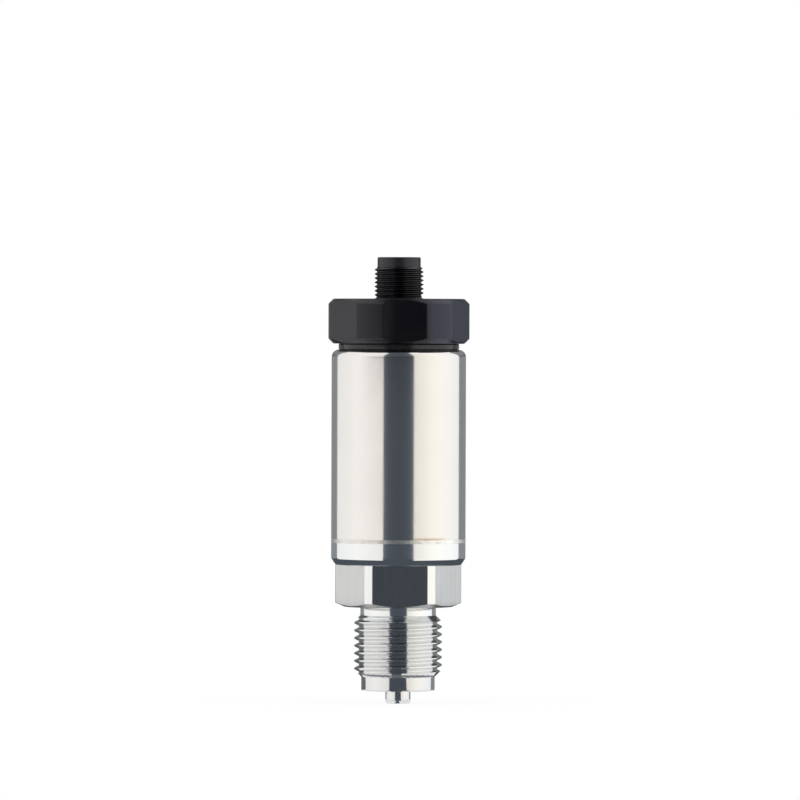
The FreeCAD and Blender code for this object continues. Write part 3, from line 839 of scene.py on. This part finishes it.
def stem_bore():
    """The pressure port with its countersink, and the stepped pocket for the cell."""
    return turned("bore", [
        (0, SPIGOT_END - 1.0), (2.3, SPIGOT_END - 1.0), (PORT_R, SPIGOT_END + 0.2), (PORT_R, 4.7),
        (5.9, 4.7), (5.9, 3.65), (8.4, 3.65), (8.4, 5.0), (9.15, 5.0), (9.15, 12.05),
        (10.05, 12.05), (10.05, REGISTER_TOP - 0.4), (10.45, REGISTER_TOP),
        (10.45, REGISTER_TOP + 0.8), (0, REGISTER_TOP + 0.8)])


def make_stem():
    """Core, pipe thread, hexagon and collar as one bar, bored for the cell."""
    stem = stem_core()
    for part in (stem_thread(), stem_hexagon(), stem_collar()):
        combine(stem, part, "UNION")
    combine(stem, stem_bore(), "DIFFERENCE")
    stem.name = "stem_and_hexagon"
    finish_piece(stem, STEM_STEEL, "process_connection")


def make_housing():
    """The steel tube with its rounded shoulder and its thick head."""
    tube = turned("steel_housing", [
        (TUBE_BORE_R, WELD_LEVEL), (GROOVE_FOOT_R, WELD_LEVEL), (TUBE_R, WELD_LEVEL + GROOVE_DEPTH),
        (TUBE_R, TUBE_TOP), (HEAD_BORE_R, TUBE_TOP), (HEAD_BORE_R, HEAD_BOTTOM),
        (TUBE_BORE_R, HEAD_BOTTOM)],
        rounded=((TUBE_R, TUBE_TOP, 1.8, 12), (HEAD_BORE_R, TUBE_TOP, 0.15, 2)), steps=256)
    finish_piece(tube, HOUSING_STEEL, "housing_tube")


def make_weld():
    """The bead between collar and tube, a little uneven all the way round."""
    bead = turned("weld_bead", [
        (GROOVE_FOOT_R, WELD_LEVEL), (15.98, WELD_LEVEL - 0.44), (16.02, WELD_LEVEL - 0.25),
        (16.035, WELD_LEVEL), (16.02, WELD_LEVEL + 0.25), (15.98, WELD_LEVEL + 0.44)], steps=720)
    ripple = bpy.data.textures.new("ripple", "CLOUDS")
    ripple.noise_scale = 0.6
    uneven = bead.modifiers.new("uneven", "DISPLACE")
    uneven.texture = ripple
    uneven.texture_coords = "LOCAL"
    uneven.strength = 0.05
    uneven.mid_level = 0.6
    apply_step(bead, uneven)
    finish_piece(bead, WELD_METAL, "weld_seam", smooth=60.0)


def make_neck_ring():
    """The dark ring between tube and cap."""
    ring = turned("neck_ring", [
        (HEAD_BORE_R, TUBE_TOP), (NECK_R, TUBE_TOP), (NECK_R, CAP_BOTTOM), (HEAD_BORE_R, CAP_BOTTOM)],
        rounded=((NECK_R, TUBE_TOP, 0.3, 4), (NECK_R, CAP_BOTTOM, 0.3, 4)))
    finish_piece(ring, NECK_RUBBER, "neck_seal")


def cap_hexagon():
    """The cap's moulded hexagon with its turned corners."""
    cap = hexagon("cap", CAP_FLATS, CAP_BOTTOM, CAP_TOP, CAP_TURN)
    facing = turned("facing", [
        (0, CAP_BOTTOM), (CAP_FACE_R, CAP_BOTTOM), (CAP_CORNER_R, CAP_BOTTOM + 1.2),
        (CAP_CORNER_R, CAP_TOP - 1.2), (CAP_FACE_R, CAP_TOP), (0, CAP_TOP)])
    combine(cap, facing, "INTERSECT")
    tidy_flats(cap)
    soften(cap, 0.4, 4, 12)
    return cap


def cap_shank():
    """The shank in the tube's head, with the groove for the circlip."""
    return turned("shank", [
        (0, 55.2), (11.6, 55.2), (SHANK_R, 55.6), (SHANK_R, 56.0), (11.45, 56.0), (11.45, 57.3),
        (SHANK_R, 57.3), (SHANK_R, CAP_BOTTOM + 1.0), (0, CAP_BOTTOM + 1.0)])


def cap_plug():
    """The plug's low collar and its core."""
    return turned("plug", [
        (0, CAP_TOP - 1.0), (6.1, CAP_TOP - 1.0), (6.1, CAP_TOP + 0.02), (5.6, CAP_TOP + 0.12),
        (5.4, CAP_TOP + 0.35), (PLUG_CORE_R, 73.95), (PLUG_CORE_R, PLUG_TOP), (0, PLUG_TOP)],
        rounded=((PLUG_CORE_R, PLUG_TOP, 0.3, 4),))


def cap_thread():
    """The plug's thread, with a chamfer at each end."""
    blank = turned("blank", [
        (0, 73.6), (5.1, 73.6), (5.95, 74.3), (5.95, 80.25), (5.1, 81.0), (0, 81.0)])
    thread = threaded_rod(
        "thread", PLUG_THREAD, PLUG_THREAD_START, PLUG_THREAD_TURNS, 73.4, 81.2, 96)
    combine(thread, blank, "INTERSECT")
    return thread


def cap_hollow():
    """The space in the shank and the plug's socket, with its bevelled mouth."""
    return turned("hollow", [
        (0, 54.0), (9.3, 54.0), (9.3, CAVITY_ROOF), (SOCKET_R, CAVITY_ROOF),
        (SOCKET_R, PLUG_TOP - 0.25), (SOCKET_R + 0.5, PLUG_TOP + 0.25), (0, PLUG_TOP + 0.25)])


def plug_key():
    """The rib in the socket that lets a connector in one way round."""
    bpy.ops.object.select_all(action="DESELECT")
    bpy.ops.mesh.primitive_cube_add(size=1, location=(SOCKET_R, 0, (SOCKET_FLOOR + KEY_TOP) / 2))
    key = named("key")
    key.scale = (1.2, 1.4, KEY_TOP - SOCKET_FLOOR)
    apply_place(key)
    soften(key, 0.12, 2, 30)
    key.rotation_euler = (0, 0, math.radians(135))
    apply_place(key)
    return key


def make_cap():
    """The moulded hexagon with its hollow shank, its threaded plug and the plug's key."""
    cap = cap_hexagon()
    for part in (cap_shank(), cap_plug(), cap_thread()):
        combine(cap, part, "UNION")
    combine(cap, cap_hollow(), "DIFFERENCE")
    combine(cap, plug_key(), "UNION")
    cap.name = "black_cap"
    finish_piece(cap, CAP_PLASTIC, "hex_cap")


def contact_place(k):
    """Where one of the plug's contacts stands."""
    angle = FULL_TURN * k / CONTACT_COUNT
    return (CONTACT_CIRCLE_R * math.cos(angle), CONTACT_CIRCLE_R * math.sin(angle), 0)


def make_plug_insert():
    """The insulator in the plug, its face dished round each contact."""
    insert = turned("plug_insert", [
        (0, 69.0), (6.5, 69.0), (6.5, CAVITY_ROOF), (5.95, CAVITY_ROOF), (5.95, 70.4), (4.65, 70.4),
        (4.65, CAVITY_ROOF), (INSERT_R, CAVITY_ROOF), (INSERT_R, SOCKET_FLOOR), (0.45, SOCKET_FLOOR),
        (0.3, SOCKET_FLOOR - 0.12), (0, SOCKET_FLOOR - 0.12)],
        rounded=((INSERT_R, SOCKET_FLOOR, 0.12, 2),), steps=128)
    hole = turned("hole", [
        (0, 68.0), (0.52, 68.0), (0.52, SOCKET_FLOOR - 0.2), (0.85, SOCKET_FLOOR + 0.02),
        (0.85, SOCKET_FLOOR + 0.5), (0, SOCKET_FLOOR + 0.5)], steps=48)
    for k in range(CONTACT_COUNT):
        combine(insert, copied(hole, "hole_" + str(k + 1), contact_place(k)), "DIFFERENCE")
    bpy.data.objects.remove(hole)
    finish_piece(insert, INSERT_PLASTIC, "contact_carrier")


def make_plug_pins():
    """Stepped contacts with domed tips, all copied from one that is turned."""
    pin = turned("plug_pin", [
        (0, 66.75), (0.4, 66.75), (0.4, 68.4), (0.8, 68.4), (0.8, 69.0), (CONTACT_R, 69.0),
        (CONTACT_R, CONTACT_TOP), (0, CONTACT_TOP)],
        rounded=((CONTACT_R, CONTACT_TOP, 0.42, 6),), steps=40)
    for k in range(CONTACT_COUNT):
        number = str(k + 1)
        contact = copied(pin, "plug_pin_" + number, contact_place(k))
        finish_piece(contact, GOLD, "contact_pin_" + number)
    bpy.data.objects.remove(pin)


make_stem()
make_housing()
make_weld()
make_neck_ring()
make_cap()
make_plug_insert()
make_plug_pins()

# Studio: a pale floor, cards that only mirror-like surfaces show, and two wide soft lamps.
# Lengths are in metres, and angles in degrees.
FLOOR_LEVEL = SPIGOT_END * MM
CARD_DISTANCE = 0.6
LAMP_DISTANCE = 0.9
LAMP_WIDTH = 0.9
LAMP_AIM = 0.03
OVERHEAD_LEVEL = 1.2

DARK = (0.070, 0.082, 0.098)
SHADE = (0.15, 0.155, 0.165)
BACK_SHADE = (0.26, 0.27, 0.28)
PALE = (0.92, 0.92, 0.92)

# Upright cards: (direction, colour) round the object, and (height, share of the colour) upwards
FRONT_MARKS = (
    (-25.8, scaled(DARK, 1.9)), (-21.0, scaled(DARK, 1.45)), (-15.0, scaled(DARK, 1.15)), (0.0, DARK),
    (15.0, scaled(DARK, 1.15)), (21.0, scaled(DARK, 1.45)), (25.8, scaled(DARK, 1.9)))
FRONT_LEVELS = (
    (-0.45, 0.62), (-0.035, 0.66), (-0.01, 1.0), (0.059, 1.0), (0.064, 0.3), (0.12, 0.3),
    (0.14, 1.0), (1.2, 1.0))
LEFT_MARKS = (
    (-129.0, (0.93, 0.935, 0.93)), (-100.0, (0.97, 0.965, 0.95)), (-78.0, (1.03, 1.01, 0.98)),
    (-60.0, (1.0, 0.98, 0.95)), (-25.8, (0.90, 0.88, 0.84)))
RIGHT_MARKS = (
    (25.8, (0.88, 0.86, 0.79)), (58.0, (1.08, 1.06, 0.97)), (76.0, (1.12, 1.10, 1.03)),
    (97.0, (1.07, 1.07, 1.05)), (125.0, (0.97, 0.99, 1.01)))
SIDE_LEVELS = ((-0.45, 1.0), (0.9, 1.0))
BACK_ENDS = ((-180.0, -129.5), (125.5, 180.0))
BACK_LEVELS = (
    (-0.45, 0.3), (-0.09, 0.3), (-0.065, 1.0), (0.08, 1.0), (0.11, 0.35), (0.16, 0.9), (0.5, 0.9))
STEM_SIDE_MARKS = ((-150.0, SHADE), (-130.0, SHADE), (-113.5, SHADE))
STEM_SIDE_LEVELS = ((-0.0225, 1.0), (-0.0035, 1.0))
CAP_SIDE_MARKS = (
    (-66.0, (0.95, 0.94, 0.92)), (-55.0, (0.6, 0.59, 0.58)), (-42.0, (0.3, 0.3, 0.3)),
    (-25.8, (0.14, 0.15, 0.16)))
CAP_SIDE_LEVELS = ((0.063, 1.0), (0.13, 1.0))


def camera_or_mirror(tree):
    """1 for rays from the camera and for mirrored and passing rays, else 0."""
    path = tree.nodes.new("ShaderNodeLightPath").outputs
    seen = math_node(tree, "MAXIMUM", path["Is Camera Ray"], path["Is Glossy Ray"])
    return math_node(tree, "MAXIMUM", seen, path["Is Transmission Ray"])


def only_from_front(tree, surface):
    """Lets rays that meet the back of a face pass through it."""
    side = tree.nodes.new("ShaderNodeNewGeometry").outputs["Backfacing"]
    clear = tree.nodes.new("ShaderNodeBsdfTransparent").outputs[0]
    one_sided = mix_shaders(tree, side, surface, clear)
    tree.links.new(one_sided, tree.nodes["Material Output"].inputs[0])


def make_world():
    """A soft white room: plain white where it is seen, and dimmer where it only lights."""
    world = bpy.data.worlds.new("studio")
    bpy.context.scene.world = world
    world.use_nodes = True
    tree = world.node_tree
    tree.nodes.clear()
    room = place_node(tree, "ShaderNodeBackground", Color=(1.0, 0.995, 0.985, 1.0), Strength=0.62)
    white = place_node(tree, "ShaderNodeBackground", Color=(1.0, 1.0, 1.0, 1.0), Strength=1.0)
    light = mix_shaders(tree, camera_or_mirror(tree), room.outputs[0], white.outputs[0])
    output = tree.nodes.new("ShaderNodeOutputWorld")
    tree.links.new(light, output.inputs[0])


def make_floor():
    """A pale floor that turns to plain white away from the object, and keeps its soft shadow."""
    material, tree, shader, place = start_material("floor", Roughness=0.9, Specular_IOR_Level=0.1)
    shader.inputs["Base Color"].default_value = (0.93, 0.93, 0.93, 1.0)
    glow = place_node(tree, "ShaderNodeEmission", Color=(1.0, 1.0, 1.0, 1.0), Strength=1.0)
    fade = span(tree, length_of(tree, place), 0.012, 0.065, 0.90, 1.0)
    mask = times(tree, camera_or_mirror(tree), fade)
    only_from_front(tree, mix_shaders(tree, mask, shader.outputs[0], glow.outputs[0]))
    bpy.ops.object.select_all(action="DESELECT")
    bpy.ops.mesh.primitive_circle_add(
        vertices=96, radius=2.0, fill_type="NGON", location=(0, 0, FLOOR_LEVEL))
    floor = named("floor")
    floor.visible_glossy = False
    floor.data.materials.append(material)


def make_card(name, corners, faces, colours):
    """A card that only mirror-like surfaces show, with a brightness at each corner."""
    material = bpy.data.materials.new(name)
    material.use_nodes = True
    tree = material.node_tree
    shade = place_node(tree, "ShaderNodeAttribute", attribute_name="shade")
    glow = place_node(tree, "ShaderNodeEmission", Strength=1.0)
    tree.links.new(shade.outputs["Color"], glow.inputs["Color"])
    only_from_front(tree, glow.outputs[0])
    mesh = bpy.data.meshes.new(name)
    mesh.from_pydata(corners, [], faces)
    shades = mesh.color_attributes.new("shade", "FLOAT_COLOR", "POINT")
    for point, colour in zip(shades.data, colours):
        point.color = colour + (1.0,)
    mesh.materials.append(material)
    card = bpy.data.objects.new(name, mesh)
    bpy.context.scene.collection.objects.link(card)
    card.visible_camera = False
    card.visible_diffuse = False
    card.visible_shadow = False
    card.visible_transmission = False


def around(turn, distance, level):
    """A place at an angle to the camera's direction, as seen from the object."""
    return outwards(CAMERA_AZIMUTH + turn) * distance + UP * level


def grid_faces(columns, rows):
    """Faces of a grid whose points run row by row within each column."""
    faces = []
    for k in range(columns - 1):
        for j in range(rows - 1):
            low = k * rows + j
            faces.append((low, low + 1, low + rows + 1, low + rows))
    return faces


def upright_card(name, marks, levels, distance=CARD_DISTANCE):
    """An upright card round the object, shaded along and upwards."""
    corners = [around(turn, distance, level) for turn, _ in marks for level, _ in levels]
    colours = [scaled(colour, share) for _, colour in marks for _, share in levels]
    make_card(name, corners, grid_faces(len(marks), len(levels)), colours)


def flat_card(name, turns, near, far, level, colour):
    """A level card in one colour that is seen from above, between two distances."""
    corners = [around(turn, distance, level) for turn in turns for distance in (near, far)]
    make_card(name, corners, grid_faces(len(turns), 2), [colour] * len(corners))


def cone_card(name, slope, drop, level, rings, colour):
    """A crescent that a cone above it mirrors. Rings are (radius on the cone, share of the reach)."""
    tilt = math.radians(slope)
    turns = range(-80, 81, 10)
    corners = []
    for turn in turns:
        normal = outwards(turn) * math.cos(tilt) - UP * math.sin(tilt)
        ray = Vector((0, 1, 0)).reflect(normal)
        reach = Vector((ray.x, ray.y, 0)) * (drop / -ray.z)
        for radius, share in rings:
            corners.append(outwards(turn) * radius + UP * level + reach * share)
    make_card(name, corners, grid_faces(len(turns), len(rings)), [colour] * len(corners))


def make_far_cards():
    """Dark cards in front, behind and above, and pale ones at both sides."""
    upright_card("front_card", FRONT_MARKS, FRONT_LEVELS)
    upright_card("left_card", LEFT_MARKS, SIDE_LEVELS)
    upright_card("right_card", RIGHT_MARKS, SIDE_LEVELS)
    for ends in BACK_ENDS:
        upright_card("back_card", [(turn, BACK_SHADE) for turn in ends], BACK_LEVELS)
    right = outwards(CAMERA_AZIMUTH + 90)
    forwards = outwards(CAMERA_AZIMUTH)
    overhead = [
        right * x - forwards * y + UP * OVERHEAD_LEVEL for x in (-0.29, 0.29) for y in (-0.62, 0.9)]
    make_card("overhead_card", overhead, grid_faces(2, 2), [DARK] * len(overhead))


def make_near_cards():
    """Cards on the ground and close by, for what the stem, the cones and the cap mirror."""
    flat_card(
        "front_ground_card", (-26.0, 0.0, 26.0), 0.012, CARD_DISTANCE, FLOOR_LEVEL + 0.1 * MM, DARK)
    flat_card("stem_floor_card", range(0, 361, 15), 0.0, 0.019, FLOOR_LEVEL + 0.02 * MM, PALE)
    flat_card("stem_front_card", (-16.0, -3.5, 9.0), 0.0021, 0.0122, FLOOR_LEVEL + 0.05 * MM, DARK)
    upright_card("stem_side_card", STEM_SIDE_MARKS, STEM_SIDE_LEVELS, distance=0.05)
    upright_card("cap_shade_card", CAP_SIDE_MARKS, CAP_SIDE_LEVELS, distance=0.56)
    cone_card("cone_card", 33.7, 0.0118, -0.001, ((0.0155, 0.5), (0.0155, 1.9)), DARK)
    # Painted reflection of shade: the chamfer at the thread's foot mirrors this grey ring as a thin
    # dark line.
    cone_card(
        "thread_foot_card", 45.0, 0.0062, FLOOR_LEVEL + 0.2 * MM, ((0.0087, 1.0), (0.0093, 1.0)), SHADE)


def make_lamp(name, turn, height, power, colour):
    """A wide soft lamp that no surface mirrors, turned from the front and aimed at the object."""
    data = bpy.data.lights.new(name, "AREA")
    data.shape = "SQUARE"
    data.size = LAMP_WIDTH
    data.energy = power
    data.color = colour
    lamp = bpy.data.objects.new(name, data)
    bpy.context.scene.collection.objects.link(lamp)
    lamp.location = outwards(turn) * LAMP_DISTANCE + UP * height
    lamp.rotation_mode = "QUATERNION"
    lamp.rotation_quaternion = (UP * LAMP_AIM - lamp.location).to_track_quat("-Z", "Y")
    lamp.visible_glossy = False


make_world()
make_floor()
make_far_cards()
make_near_cards()
make_lamp("left_lamp", -55.0, 0.7, 6.0, (1.0, 0.985, 0.96))
make_lamp("right_lamp", 60.0, 0.6, 5.0, (0.97, 0.985, 1.0))

bpy.context.scene.view_settings.view_transform = "Standard"
